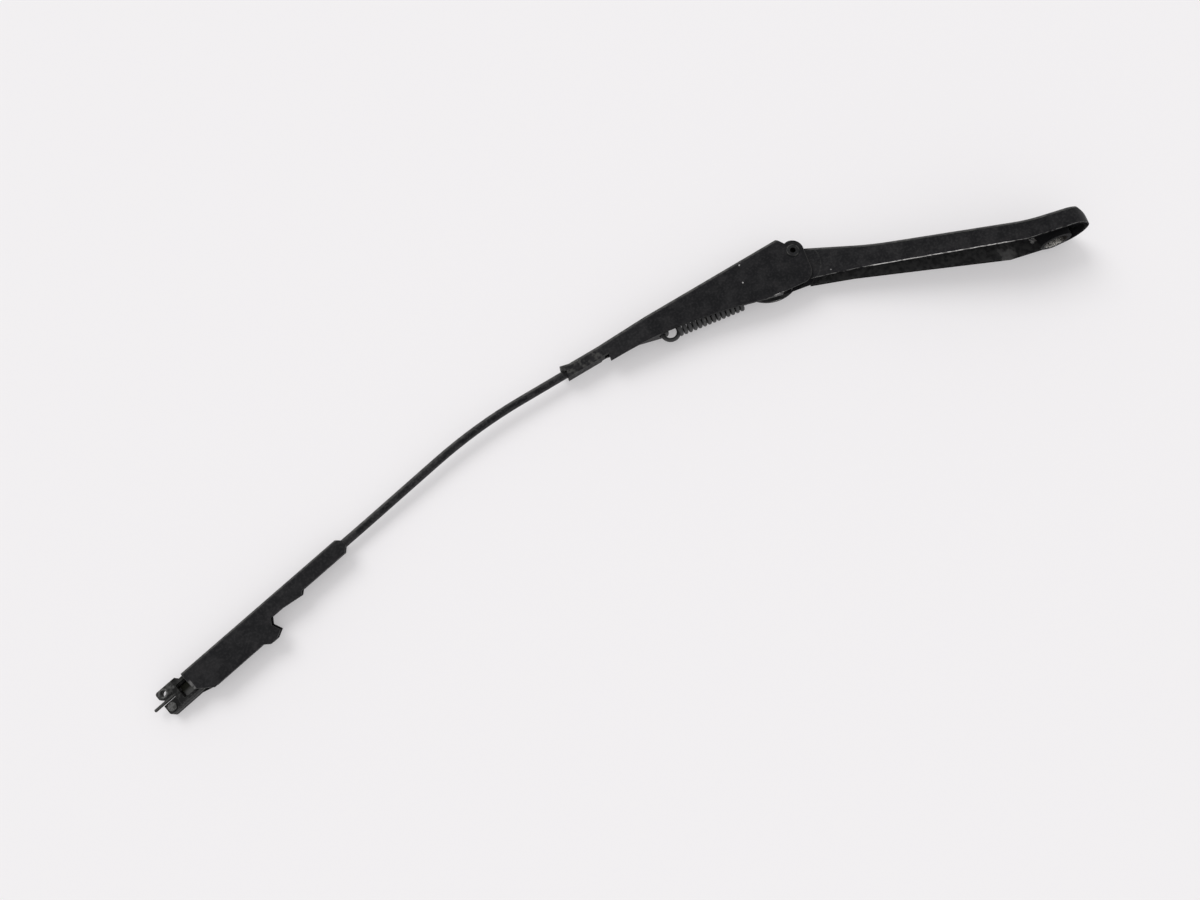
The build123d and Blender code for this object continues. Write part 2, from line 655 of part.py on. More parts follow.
def tip_channel():
    half = TIP_WIDTH / 2
    near_end = [(SKIRT_END + WALL_CUT, -WALL_CUT_DOWN), (TIP_LENGTH, TIP_UP)]
    far_end = [
        (SKIRT_END + WALL_CUT, -COUPLER_DOWN),
        (COUPLER_LENGTH, -COUPLER_DOWN),
        (COUPLER_LENGTH, -SLOT_DOWN),
        (TIP_LENGTH, -SLOT_DOWN),
        (TIP_LENGTH, TIP_UP),
    ]
    far = rounded(outline(*tip_skirt(FAR_TIP_UP), *far_end), LUG_ROUND, far_end[1])
    block = extrude(outline(*tip_skirt(0), *near_end), -half) + extrude(far, half)
    crown = block.faces().sort_by(Axis.Y)[-1].edges().filter_by(Axis.X)
    block = fillet(crown.filter_by(lambda edge: abs(edge.center().Z) > half / 2), TIP_BEND)
    hollow = Box(LONG, LONG, TIP_INSIDE, align=(Align.CENTER, Align.MAX, Align.CENTER))
    tip = block - Pos(0, TIP_CEILING) * hollow
    for along in TIP_RIVETS.values():
        tip -= Pos(along, 0) * upright(TIP_RIVET / 2 + SEAT_GAP, 0, 2 * TIP_UP)
        tip -= Pos(along, 0) * countersink(SEAT_GAP)
    tip -= Pos(*LUG_RIVET_AT) * Cylinder(LUG_RIVET / 2 + SEAT_GAP, 2 * TIP_WIDTH)
    return TIP_PLACE * tip


def coupler_block(start, end, low, high, near, far):
    """Box in the tip's frame, between its near and far sides."""
    box = Box(end - start, high - low, far - near)
    return Pos((start + end) / 2, (low + high) / 2, (near + far) / 2) * box


def lug_side(start, ramp, low, high):
    """Side view of a lug that ends with the coupler, its top reached by a ramp."""
    return outline((start, low), (COUPLER_LENGTH, low), (COUPLER_LENGTH, high), (start + ramp, high))


def blade_coupler():
    """Moulded plug with a pocket on its near side, and two lugs that stand out of the tip."""
    side = TIP_INSIDE / 2 - SEAT_GAP
    top = TIP_CEILING - SEAT_GAP
    coupler = coupler_block(LUG_START - PLUG_LENGTH, LUG_START, -COUPLER_DOWN, top, -side, side)
    pocket_end = LUG_START - CROSS_WALL
    pocket_start = pocket_end - POCKET_LENGTH
    low = POCKET_WALL - COUPLER_DOWN
    high = top - POCKET_WALL
    coupler -= coupler_block(pocket_start, pocket_end, low, high, -TIP_WIDTH, side - POCKET_FLOOR)
    upper = lug_side(TIP_LENGTH + LUG_BACK_GAP, LUG_RAMP, SLOT_UP, LUG_UP)
    upper = rounded(upper, LUG_ROUND, (COUPLER_LENGTH, LUG_UP), (COUPLER_LENGTH, SLOT_UP))
    lower = lug_side(LUG_START, 0, -COUPLER_DOWN, -SLOT_DOWN)
    lower = rounded(lower, LUG_ROUND, (COUPLER_LENGTH, -COUPLER_DOWN))
    coupler += Pos(0, 0, side - LUG_WIDTH) * extrude(upper + lower, LUG_WIDTH)
    coupler -= Pos(*BLADE_HOLE_AT) * Cylinder(BLADE_HOLE / 2, 2 * TIP_WIDTH)
    coupler -= Pos(*LUG_RIVET_AT) * Cylinder(LUG_RIVET / 2 + SEAT_GAP, 2 * TIP_WIDTH)
    return TIP_PLACE * (coupler - peg_bar(SEAT_GAP))


def peg_bar(gap):
    """Bar of the peg, from its seat in the plug out between the lugs."""
    length = PEG_SEAT + LUG_LENGTH + PEG_OUT
    bar = Cylinder(PEG_DIAMETER / 2 + gap, length, align=(Align.CENTER, Align.CENTER, Align.MIN))
    return Pos(LUG_START - PEG_SEAT, SLOT_UP - SLOT_WIDTH / 2) * Rot(Y=90) * bar


def latch_peg():
    peg = peg_bar(0)
    return TIP_PLACE * fillet(peg.edges().sort_by(Axis.X)[-1], PEG_DIAMETER / 3)


def coupler_rivet():
    lug_face = TIP_INSIDE / 2 - SEAT_GAP - LUG_WIDTH
    foot = (Align.CENTER, Align.CENTER, Align.MAX)
    shank = Pos(0, 0, TIP_WIDTH / 2) * Cylinder(LUG_RIVET / 2, TIP_WIDTH / 2 - lug_face, align=foot)
    head = Pos(0, 0, lug_face) * Cylinder(LUG_RIVET_HEAD / 2, LUG_RIVET_RISE, align=foot)
    return TIP_PLACE * Pos(*LUG_RIVET_AT) * (shank + head)


pieces = {
    "arm_head": arm_head(),
    "spindle_hub": spindle_hub(),
    "hinge_bush_near": hinge_bush(0),
    "hinge_bush_far": hinge_bush(180),
    "link_pin": link_pin(),
    "arm_channel": arm_channel(),
    "hinge_pin": hinge_pin(),
    "tension_spring": tension_spring(),
    "spring_link": spring_link(),
    "wiper_rod": wiper_rod(),
    "tip_channel": tip_channel(),
    "blade_coupler": blade_coupler(),
    "coupler_rivet": coupler_rivet(),
    "latch_peg": latch_peg(),
}
for side, along in TIP_RIVETS.items():
    pieces[f"tip_rivet_{side}"] = tip_rivet(along)

os.makedirs("parts", exist_ok=True)
for name, piece in pieces.items():
    export_step(piece, f"parts/{name}.step")
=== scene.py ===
import bpy
import json
from math import atan2, ceil, cos, pi, radians, sin, tau
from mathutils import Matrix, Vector


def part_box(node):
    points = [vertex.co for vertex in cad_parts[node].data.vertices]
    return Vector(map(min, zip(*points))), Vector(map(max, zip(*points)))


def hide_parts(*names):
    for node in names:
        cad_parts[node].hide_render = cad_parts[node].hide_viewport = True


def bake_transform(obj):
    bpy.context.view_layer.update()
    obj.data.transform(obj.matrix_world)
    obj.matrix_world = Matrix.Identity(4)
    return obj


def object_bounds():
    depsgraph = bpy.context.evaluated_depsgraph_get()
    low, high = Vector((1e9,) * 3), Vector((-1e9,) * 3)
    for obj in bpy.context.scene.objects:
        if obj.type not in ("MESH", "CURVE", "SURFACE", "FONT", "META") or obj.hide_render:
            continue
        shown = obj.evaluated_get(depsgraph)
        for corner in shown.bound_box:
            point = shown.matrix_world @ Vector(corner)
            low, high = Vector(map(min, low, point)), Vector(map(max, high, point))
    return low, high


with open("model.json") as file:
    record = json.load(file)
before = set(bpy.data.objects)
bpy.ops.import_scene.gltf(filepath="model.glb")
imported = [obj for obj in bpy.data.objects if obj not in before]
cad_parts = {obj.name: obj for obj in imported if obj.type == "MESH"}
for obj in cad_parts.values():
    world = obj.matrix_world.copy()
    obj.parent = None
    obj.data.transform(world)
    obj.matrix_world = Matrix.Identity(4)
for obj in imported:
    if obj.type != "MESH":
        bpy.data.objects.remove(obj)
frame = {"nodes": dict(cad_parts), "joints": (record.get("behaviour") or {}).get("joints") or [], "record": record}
cad_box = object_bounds()

# Units, and directions in the part's own frame: X along the arm, Y up the spindle, Z across
MM = 0.001
UP = (0, 1, 0)
DOWN = (0, -1, 0)

# Camera: where it looks, from which side, and how wide
AIM = Vector((-0.2676, -0.0388, -0.014))
CAMERA_ELEVATION = radians(75.0)
CAMERA_TURN = radians(18.3)
CAMERA_DISTANCE = 0.575
CLIP_START = 0.02 * CAMERA_DISTANCE
SENSOR_WIDTH = 36.0
LENS = 33.0

# Studio: pale floor with faint shadows, soft key light from behind the arm's left end, pale sky
FLOOR_SIZE = 12.0
FLOOR_COLOUR = (0.885, 0.868, 0.880)
FLOOR_GLOW = 0.35
KEY_TRAVEL = Vector((0.30, -0.62, -0.72))
KEY_STRENGTH = 1.33
KEY_ANGLE = radians(35)
HORIZON = 0.885
ZENITH = 0.60

# Tension spring
WIRE = 2.3 * MM
COIL_RADIUS = 3.65 * MM
PITCH = 2.75 * MM
TURNS = 13.75
HOOK_RADIUS = 4.5 * MM
LOOP_RADIUS = 3.6 * MM
LOOP_SWEEP = radians(325)
STEPS_PER_TURN = 36
WIRE_SIDES = 14

# Below, a range is its low end, its high end and the fade beyond them. A step is its start and its
# end, and then the shares at both unless they are 0 and 1. Blotches are the size of the noise's
# patches, and a step between two levels of the noise.

# The head's near rim: level below the hub, then climbing towards the hinge, less so past a knee
RIM_FLAT_BACK = 20.2 * MM
RIM_KNEE_BACK = 105.2 * MM
RIM_RISE = 0.1926
RIM_KNEE_RISE = 0.1405
RIM_EDGE = (-7.25 * MM, -6.95 * MM, 0.045 * MM)
RIM_STRIP = (0.91 * MM, 0.7 * MM)
RIM_BRIGHT = (-96 * MM, -34 * MM, 10 * MM)
RIM_GAP = 0.3
RIM_DULL = 0.2
HEAD_SIDE = 14 * MM
FLARE_START = -15.2 * MM
FLARE_LEAN = 0.1384
NOSE = Vector((5, 0, 0)) * MM
NOSE_STRIP = (13.09 * MM, 13.3 * MM)
NOSE_START = (4 * MM, 5 * MM)

# Places of wear: chips, the hinge ears and the collar. Also the hollows' far sides, lit by painted light
HEAD_HOLLOW = (-12.3 * MM, -11.7 * MM, 0.1 * MM)
CHANNEL_HOLLOW = (-12.9 * MM, -12.3 * MM, 0.1 * MM)
HOLLOW_BLOTCHES = (2.5 * MM, 0.32, 0.68, 0.3, 1.0)
HEAD_CHIPS = [Vector((-120.4, 13.8, -0.7)) * MM]
HEAD_CHIP_SHARE = 0.3
CHANNEL_CHIPS = [Vector((-166.2, 31.2, 0)) * MM, Vector((-167.8, 21.2, 0)) * MM]
CHANNEL_CHIP_SHARE = 0.7
CHIP_SIZE = 0.36 * MM
FLECK = Vector((-5.0, -0.6, -12)) * MM
FLECK_SIZE = 1.8 * MM
FLECK_BLOTCHES = (1.2 * MM, 0.40, 0.60, 0.2, 0.8)
SMEAR = Vector((-21.9, -4.3, -12)) * MM
SMEAR_SIZE = 3.8 * MM
SMEAR_SHARE = 0.12
RUB_ARC = Vector((-135.5, 22.7, 0)) * MM
RUB_RADIUS = 12 * MM
RUB_LINE = (0.5 * MM, 0.1 * MM, 0.0, 0.35)
RUB_GAP = 0.25
HEAD_NEAR = (-4 * MM, -2 * MM)
EAR_FRONT = (-132.2 * MM, -129.2 * MM, 0.5 * MM)
EAR_FRONT_EDGE = 0.7 * MM
EAR_HEEL = (-160.5 * MM, -148.5 * MM, 2 * MM)
EAR_HEEL_TOP = (11 * MM, 10 * MM)
EAR_HEEL_BARE = (-155 * MM, -153 * MM, 0.2, 1.0)
EAR_HEEL_EDGE = 0.8 * MM
COLLAR = (-275.2 * MM, -252.2 * MM, 3 * MM)
COLLAR_BLOTCHES = (2.2 * MM, 0.46, 0.64, 0.0, 0.9)
DASH_SIZE = 0.8 * MM
DASH_STRETCH = (4, 1, 1)
DASH_LEVELS = (0.47, 0.54)

# Places in the tip: out past the blade's pivot along the tip and up from it, or across the part
TIP_SLOPE = radians(24.6)
TIP_NEAR = (-9 * MM, -6 * MM)
WALL_END = (-14.3 * MM, -12.2 * MM, 0.2 * MM)
WALL_END_TOP = (-4.0 * MM, -6.0 * MM)
SKIRT_END = (-21.0 * MM, -20.0 * MM)
SKIRT_EDGE = 0.5 * MM
TIP_BLOTCHES = (1.5 * MM, 0.35, 0.60, 0.05, 0.17)
PIVOT_RIM = (1.5 * MM, 2.3 * MM, 0.2 * MM)
PIVOT_BLOTCHES = (1.5 * MM, 0.40, 0.60, 0.1, 0.6)
POCKET_FLOOR = (-10.97 * MM, -10.57 * MM, 0.1 * MM)
# Painted shade on the pocket's floor turns to painted light between these distances below the pivot
POCKET_LIGHT_STEP = (-4.6 * MM, -6.6 * MM)
LUG_OUT = (-7 * MM, -6 * MM)
LUG_UP = (-2.4 * MM, -1.9 * MM)
LUG_BLOTCHES = (1.5 * MM, 0.35, 0.65, 0.15, 0.7)

# Hub and hinge pin: the bore's stains, and painted shade that darkens the bore from its mouth inwards and away
# from its side towards the far wall
BORE_WALL = (6.7 * MM, 6.4 * MM)
BORE_FACING = (0.9, 0.6)
BORE_DEPTH_SHADE = (-7.8 * MM, -4.6 * MM)
BORE_SIDE_SHADE = (-5.0 * MM, -1.2 * MM)
BORE_STAINS = (2.2 * MM, 0.53, 0.68)
BORE_SPECKS = (0.6 * MM, 0.51, 0.62)
BORE_METALLIC = 0.9
PIN_HOLLOW = (1.5 * MM, 1.7 * MM)
PIN_RING = (3.05 * MM, 3.35 * MM, 0.2 * MM)
PIN_RUB = (2.4 * MM, 0.44, 0.56, 0.0, 0.9)
PIN_DUST = (0.9 * MM, 0.45, 0.70)

# Paint: its patches, a painted highlight on bends that face up the spindle, and where it is rubbed
DUST_PATCH = 7 * MM
DUST_GRAIN = 1.2 * MM
DUST_IN_PATCHES = (0.40, 0.70, 0.0, 0.6)
DUST_IN_GRAIN = (0.44, 0.68, 0.0, 0.7)
PAINT_PEEL = (0.35 * MM, 2.0)
HIGHLIGHT_FACING = (0.35, 0.80, 0.15)
HIGHLIGHT_BLOTCHES = (3 * MM, 0.30, 0.70, 0.25, 0.9)
COAT_EDGE = 0.3 * MM
COAT_EDGE_BLOTCHES = (2.2 * MM, 0.40, 0.62, 0.1, 0.8)

# Bare metal, spring wire and plastic: stains, and places that are rubbed or scuffed
METAL_STAINS = (0.40, 0.62)
METAL_SPECKS = (0.52, 0.70)
STAIN_SIZE = 3 * MM
RIVET_STAIN_SIZE = 1.5 * MM
WIRE_RUB = (2.5 * MM, 0.58, 0.76)
WIRE_METALLIC = (0.0, 1.0, 0.1, 0.8)
PLASTIC_EDGE = 0.4 * MM
PLASTIC_EDGE_BLOTCHES = (2 * MM, 0.35, 0.65, 0.2, 0.9)
PLASTIC_BLOTCHES = (1.6 * MM, 0.48, 0.62, 0.0, 0.3)

# Sheen
SHEEN = 0.1
PIN_SHEEN = 0.2
WIRE_SHEEN = 0.3
UNDER_FACING = (0.5, 0.9)
HEAD_UNDER_SHEEN = 0.0
ROD_UNDER_SHEEN = 0.3

# Roughness: steps of the paint's patches and the metals' stains, and blotches
COAT_ROUGH = (0.3, 0.7, 0.38, 0.54)
BORE_ROUGH = (0.0, 1.0, 0.34, 0.62)
METAL_ROUGH = (0.0, 1.0, 0.28, 0.62)
PIN_ROUGH = (2 * MM, 0.3, 0.7, 0.42, 0.56)
WIRE_ROUGH = (1.2 * MM, 0.3, 0.7, 0.34, 0.52)
PLASTIC_ROUGH = (1 * MM, 0.3, 0.7, 0.46, 0.60)
FLOOR_ROUGH = 0.9

# Relief: depths for the paint's three noises, and elsewhere the size, the detail and the depth
COAT_RELIEF = (0.06 * MM, 0.025 * MM, 0.006 * MM)
METAL_RELIEF = (0.5 * MM, 4.0, 0.01 * MM)
PIN_RELIEF = (0.5 * MM, 3.0, 0.015 * MM)
WIRE_RELIEF = (0.4 * MM, 3.0, 0.01 * MM)
PLASTIC_GRAIN = (0.3 * MM, 3.0, 0.015 * MM)
PLASTIC_WAVES = (2 * MM, 3.0, 0.03 * MM)

# Rounding of the edges in the shading, and how far it turns a face where an edge counts as one
EDGE_ROUNDING = 0.3 * MM
EDGE_SAMPLES = 6
EDGE_LEVELS = (0.995, 0.86)

# Colours, as linear red, green and blue
COAT = (0.0062, 0.0062, 0.0072)
COAT_DUSTY = (0.0185, 0.0179, 0.0190)
COAT_WORN = (0.050, 0.049, 0.047)
ROD_DUST = (0.032, 0.031, 0.032)
# Painted highlight on bends that face up the spindle
COAT_BEND_HIGHLIGHT = (0.080, 0.078, 0.075)
# Painted light on the far sides of the hollows
HOLLOW_PAINTED_LIGHT = (0.056, 0.056, 0.056)
CUT_EDGE = (0.62, 0.61, 0.60)
# Painted shade in the hinge pin's hollow
PIN_HOLLOW_SHADE = (0.006, 0.005, 0.005)
STEEL = (0.90, 0.88, 0.85)
STEEL_GRIME = (0.05, 0.046, 0.042)
SPRING = (0.042, 0.042, 0.043)
SPRING_WORN = (0.15, 0.147, 0.142)
BRASS = (0.50, 0.36, 0.15)
BRASS_GRIME = (0.07, 0.05, 0.03)
ZINC = (0.130, 0.130, 0.127)
ZINC_GRIME = (0.060, 0.060, 0.058)
PLASTIC = (0.008, 0.008, 0.008)
PLASTIC_PALE = (0.075, 0.075, 0.073)
# Pale plastic of the ring round the blade's pivot, also the painted light on the pocket's floor
PLASTIC_BRIGHT = (0.15, 0.15, 0.147)
PEG = (0.058, 0.058, 0.056)
# Painted shade on the pocket's floor
POCKET_SHADE = (0.042, 0.044, 0.032)


class Look:
    """One procedural material, built up as a formula on its shader."""

    def __init__(self, name, **constants):
        self.material = bpy.data.materials.new(name)
        self.material.use_nodes = True
        self.tree = self.material.node_tree
        self.shader = self.tree.nodes["Principled BSDF"]
        place = self.tree.nodes.new("ShaderNodeTexCoord")
        self.place = place.outputs["Object"]
        self.facing = place.outputs["Normal"]
        for socket, value in constants.items():
            self.set(socket.replace("_", " "), value)

    def feed(self, socket, value):
        """Links a value that comes from a node, or writes a constant."""
        if isinstance(value, bpy.types.NodeSocket):
            self.tree.links.new(value, socket)
        elif isinstance(value, tuple) and len(value) == 3 and socket.type == "RGBA":
            socket.default_value = (*value, 1)
        else:
            socket.default_value = value

    def set(self, socket, value):
        self.feed(self.shader.inputs[socket], value)

    def add(self, kind, inputs=(), output=0, **settings):
        """Adds a node and gives one of its outputs."""
        node = self.tree.nodes.new("ShaderNode" + kind)
        for key, value in settings.items():
            setattr(node, key, value)
        for key, value in dict(inputs).items():
            self.feed(node.inputs[key], value)
        return node.outputs[output]

    def noise(self, size, detail=3.0, stretch=(1, 1, 1)):
        """Noise with patches of about this size, drawn out along an axis by stretch."""
        scale = tuple(1 / share for share in stretch)
        place = self.add("Mapping", {"Vector": self.place, "Scale": scale})
        return self.add("TexNoise", {"Vector": place, "Scale": 1 / size, "Detail": detail})

    def spread(self, value, start, end, low=0.0, high=1.0):
        """Smooth step of a value from start to end, giving low to high."""
        return self.add(
            "MapRange",
            {"Value": value, "From Min": start, "From Max": end, "To Min": low, "To Max": high},
            interpolation_type="SMOOTHSTEP",
        )

    def blotches(self, size, start, end, low=0.0, high=1.0):
        """Noise with patches of this size, stepped from low to high between two of its levels."""
        return self.spread(self.noise(size), start, end, low, high)

    def math(self, operation, first, second, clamp=False):
        return self.add("Math", {0: first, 1: second}, operation=operation, use_clamp=clamp)

    def sum(self, first, second):
        """Sum of two values, held between 0 and 1."""
        return self.math("ADD", first, second, clamp=True)

    def minus(self, first, second):
        return self.math("SUBTRACT", first, second)

    def product(self, first, second):
        return self.math("MULTIPLY", first, second)

    def mix(self, share, first, second):
        """Colour that goes from the first to the second as the share goes from 0 to 1."""
        return self.add("Mix", {0: share, 6: first, 7: second}, 2, data_type="RGBA")

    def within(self, value, low, high, fade):
        """1 where a value lies between two limits, fading out beyond them."""
        over = self.spread(value, low - fade, low)
        return self.product(over, self.spread(value, high + fade, high))

    def axis(self, index):
        """Coordinate in the part's own frame: 0 along the arm, 1 up the spindle, 2 across."""
        return self.add("SeparateXYZ", {0: self.place}, index)

    def away(self, point, across=(1, 1, 1)):
        """Distance from a point, measured only along the axes that are given as 1."""
        here = self.add("VectorMath", {0: self.place, 1: across}, operation="MULTIPLY")
        there = tuple(place * share for place, share in zip(point, across))
        return self.add("VectorMath", {0: here, 1: there}, 1, operation="DISTANCE")

    def along(self, vector, direction):
        return self.add("VectorMath", {0: vector, 1: direction}, 1, operation="DOT_PRODUCT")

    def spots(self, points, size):
        """1 in ragged spots of this size at the points."""
        ragged = self.blotches(size, 0.3, 0.7, -size / 2, size / 2)
        share = 0.0
        for point in points:
            reach = self.sum(self.away(point), ragged)
            share = self.sum(share, self.spread(reach, 1.3 * size, 0.7 * size))
        return share

    def edges(self, radius):
        """1 on sharp outer and inner edges, fading to 0 on the flat within the radius."""
        rounded = self.add("Bevel", {"Radius": radius}, samples=EDGE_SAMPLES)
        flat = self.add("NewGeometry", output="Normal")
        return self.spread(self.along(rounded, flat), *EDGE_LEVELS)

    def bump(self, *heights):
        """Rounded edges, with relief from pairs of a height and its depth."""
        normal = self.add("Bevel", {"Radius": EDGE_ROUNDING}, samples=EDGE_SAMPLES)
        for height, depth in heights:
            normal = self.add("Bump", {"Height": height, "Distance": depth, "Normal": normal})
        self.set("Normal", normal)

    def relief(self, *layers):
        """Rounded edges, with relief from noises of a size, a detail and a depth."""
        self.bump(*((self.noise(size, detail), depth) for size, detail, depth in layers))


def named(rows, name):
    """Row with this name among the record's mounts or the frame's joints."""
    return next(row for row in rows if row["name"] == name)


def coat_look(name, bare=None, pale=None, hollow=None, dusty=COAT_DUSTY, under=SHEEN):
    """Satin black paint on steel, dusty in patches, rubbed on its edges, with a painted highlight on its bends.

    bare and pale give the shares that are worn to metal and worn thin, hollow is the range of a
    hollow's far side, lit by painted light, and under is the sheen of faces that point down.
    """
    look = Look(name)
    patches = look.noise(DUST_PATCH)
    grain = look.noise(DUST_GRAIN)
    peel = look.noise(*PAINT_PEEL)
    dust = look.sum(look.spread(patches, *DUST_IN_PATCHES), look.spread(grain, *DUST_IN_GRAIN))
    # Painted highlight: bends that face up the spindle, towards the key light, are painted paler in patches
    painted_highlight = look.within(look.along(look.facing, UP), *HIGHLIGHT_FACING)
    painted_highlight = look.product(painted_highlight, look.blotches(*HIGHLIGHT_BLOTCHES))
    colour = look.mix(painted_highlight, look.mix(dust, COAT, dusty), COAT_BEND_HIGHLIGHT)
    if hollow:
        # Painted light: the far side of a hollow is painted paler in patches, standing in for light that enters it
        inside = look.within(look.axis(2), *hollow)
        inside = look.product(inside, look.blotches(*HOLLOW_BLOTCHES))
        colour = look.mix(inside, colour, HOLLOW_PAINTED_LIGHT)
    rub = look.product(look.edges(COAT_EDGE), look.blotches(*COAT_EDGE_BLOTCHES))
    if pale:
        rub = look.sum(rub, pale(look))
    colour = look.mix(rub, colour, COAT_WORN)
    if bare:
        colour = look.mix(bare(look), colour, CUT_EDGE)
    look.set("Base Color", colour)
    sheen = look.spread(look.along(look.facing, DOWN), *UNDER_FACING, SHEEN, under)
    look.set("Specular IOR Level", sheen)
    look.set("Roughness", look.spread(patches, *COAT_ROUGH))
    look.bump(*zip((patches, grain, peel), COAT_RELIEF))
    return look.material


def dashes(look, gap):
    """Broken streaks along the arm, with some share left in their gaps."""
    return look.spread(look.noise(DASH_SIZE, stretch=DASH_STRETCH), *DASH_LEVELS, gap, 1.0)


def rim_band(look):
    """1 at the height of the head's near rim, all along the head."""
    back = look.product(look.axis(0), -1.0)
    climb = look.math("MAXIMUM", look.minus(back, RIM_FLAT_BACK), 0.0)
    climb = look.product(climb, RIM_RISE)
    knee = look.product(look.minus(back, RIM_KNEE_BACK), RIM_KNEE_RISE)
    knee = look.sum(knee, (RIM_KNEE_BACK - RIM_FLAT_BACK) * RIM_RISE)
    height = look.minus(look.axis(1), look.math("MINIMUM", climb, knee))
    return look.within(height, *RIM_EDGE)


def rim_strip(look):
    """1 in the outermost strip of the head's wall, along its near side and round its nose."""
    flare = look.math("MINIMUM", look.minus(look.axis(0), FLARE_START), 0.0)
    flare = look.product(flare, FLARE_LEAN)
    inwards = look.minus(HEAD_SIDE, look.minus(look.axis(2), flare))
    nose = look.spread(look.away(NOSE, (1, 0, 1)), *NOSE_STRIP)
    nose = look.product(nose, look.spread(look.axis(0), *NOSE_START))
    return look.sum(look.spread(inwards, *RIM_STRIP), nose)


def head_bare(look):
    """Cut edge of the near rim, brightest in the middle, a chip, and marks in the hollow."""
    bright = look.product(look.within(look.axis(0), *RIM_BRIGHT), dashes(look, RIM_GAP))
    share = look.sum(bright, look.product(dashes(look, 0.0), RIM_DULL))
    rim = look.product(look.product(rim_band(look), rim_strip(look)), share)
    chips = look.product(look.spots(HEAD_CHIPS, CHIP_SIZE), HEAD_CHIP_SHARE)
    fleck = look.product(look.spots([FLECK], FLECK_SIZE), look.blotches(*FLECK_BLOTCHES))
    smear = look.product(look.spots([SMEAR], SMEAR_SIZE), SMEAR_SHARE)
    return look.sum(rim, look.sum(chips, look.sum(fleck, smear)))


def head_pale(look):
    """Arc that the ear has rubbed beside the hinge, on the near side."""
    off = look.minus(look.away(RUB_ARC, (1, 1, 0)), RUB_RADIUS)
    line = look.spread(look.math("ABSOLUTE", off, 0.0), *RUB_LINE)
    line = look.product(line, dashes(look, RUB_GAP))
    return look.product(line, look.spread(look.axis(2), *HEAD_NEAR))


def channel_bare(look):
    """Chips on the near wall, and dashes worn through on the heel of the near ear."""
    heel = look.product(look.within(look.axis(0), *EAR_HEEL), look.edges(EAR_HEEL_EDGE))
    heel = look.product(heel, look.spread(look.axis(1), *EAR_HEEL_TOP))
    worn = look.product(dashes(look, 0.0), look.spread(look.axis(0), *EAR_HEEL_BARE))
    chips = look.product(look.spots(CHANNEL_CHIPS, CHIP_SIZE), CHANNEL_CHIP_SHARE)
    return look.sum(look.product(heel, worn), chips)


def channel_pale(look):
    """Rubbed front edge of the ears, and a mottled collar."""
    front = look.product(look.within(look.axis(0), *EAR_FRONT), look.edges(EAR_FRONT_EDGE))
    collar = look.product(look.within(look.axis(0), *COLLAR), look.blotches(*COLLAR_BLOTCHES))
    return look.sum(front, collar)


def blade_pivot():
    return Vector(named(frame["record"]["mounts"], "blade_pivot")["pos_m"])


def tip_place(look):
    """Distances out past the blade's pivot along the tip, and up from it."""
    pivot = blade_pivot()
    line = Vector((-cos(TIP_SLOPE), -sin(TIP_SLOPE), 0))
    rise = Vector((-sin(TIP_SLOPE), cos(TIP_SLOPE), 0))
    out = look.minus(look.along(look.place, line), pivot.dot(line))
    return out, look.minus(look.along(look.place, rise), pivot.dot(rise))


def tip_bare(look):
    """Cut edge round the end of the near wall."""
    out, up = tip_place(look)
    end = look.product(look.within(out, *WALL_END), look.spread(up, *WALL_END_TOP))
    skirt = look.product(look.edges(SKIRT_EDGE), look.spread(out, *SKIRT_END))
    cut = look.product(look.sum(end, skirt), look.spread(look.axis(2), *TIP_NEAR))
    return look.product(cut, look.blotches(*TIP_BLOTCHES))


def hub_look():
    """Serrated bore of bare steel, stained, with painted shade inside, in a hub that is painted outside."""
    look = Look("hub_steel", Specular_IOR_Level=SHEEN)
    bore = look.spread(look.away(Vector(), (1, 0, 1)), *BORE_WALL)
    bore = look.product(bore, look.spread(look.along(look.facing, DOWN), *BORE_FACING))
    stain = look.sum(look.blotches(*BORE_STAINS), look.blotches(*BORE_SPECKS))
    # Painted shade: the bore darkens from its mouth inwards, and across it away from the far wall
    stain = look.sum(stain, look.spread(look.axis(1), *BORE_DEPTH_SHADE))
    stain = look.sum(stain, look.spread(look.axis(2), *BORE_SIDE_SHADE))
    look.set("Base Color", look.mix(bore, COAT, look.mix(stain, STEEL, STEEL_GRIME)))
    look.set("Metallic", look.product(bore, BORE_METALLIC))
    look.set("Roughness", look.spread(stain, *BORE_ROUGH))
    look.relief(METAL_RELIEF)
    return look.material


def pin_look():
    """Painted pin end with a rubbed ring round its hollow, which is painted near black as shade."""
    look = Look("pin_end", Specular_IOR_Level=PIN_SHEEN)
    radius = look.away(named(frame["joints"], "arm_fold")["pos_m"], (1, 1, 0))
    rub = look.product(look.within(radius, *PIN_RING), look.blotches(*PIN_RUB))
    colour = look.mix(look.blotches(*PIN_DUST), COAT, COAT_DUSTY)
    colour = look.mix(rub, colour, COAT_WORN)
    # Painted shade: the pin's hollow is painted near black
    look.set("Base Color", look.mix(look.spread(radius, *PIN_HOLLOW), PIN_HOLLOW_SHADE, colour))
    look.set("Roughness", look.blotches(*PIN_ROUGH))
    look.relief(PIN_RELIEF)
    return look.material


def metal_look(name, bright, grime, size):
    """Bare metal, with stains of this size and specks a quarter as large."""
    look = Look(name, Metallic=1.0)
    stain = look.blotches(size, *METAL_STAINS)
    stain = look.sum(stain, look.blotches(size / 4, *METAL_SPECKS))
    look.set("Base Color", look.mix(stain, bright, grime))
    look.set("Roughness", look.spread(stain, *METAL_ROUGH))
    look.relief(METAL_RELIEF)
    return look.material


def spring_look():
    """Oiled black spring wire, rubbed to steel in places."""
    look = Look("spring_wire", Specular_IOR_Level=WIRE_SHEEN)
    rub = look.blotches(*WIRE_RUB)
    look.set("Base Color", look.mix(rub, SPRING, SPRING_WORN))
    look.set("Metallic", look.spread(rub, *WIRE_METALLIC))
    look.set("Roughness", look.blotches(*WIRE_ROUGH))
    look.relief(WIRE_RELIEF)
    return look.material


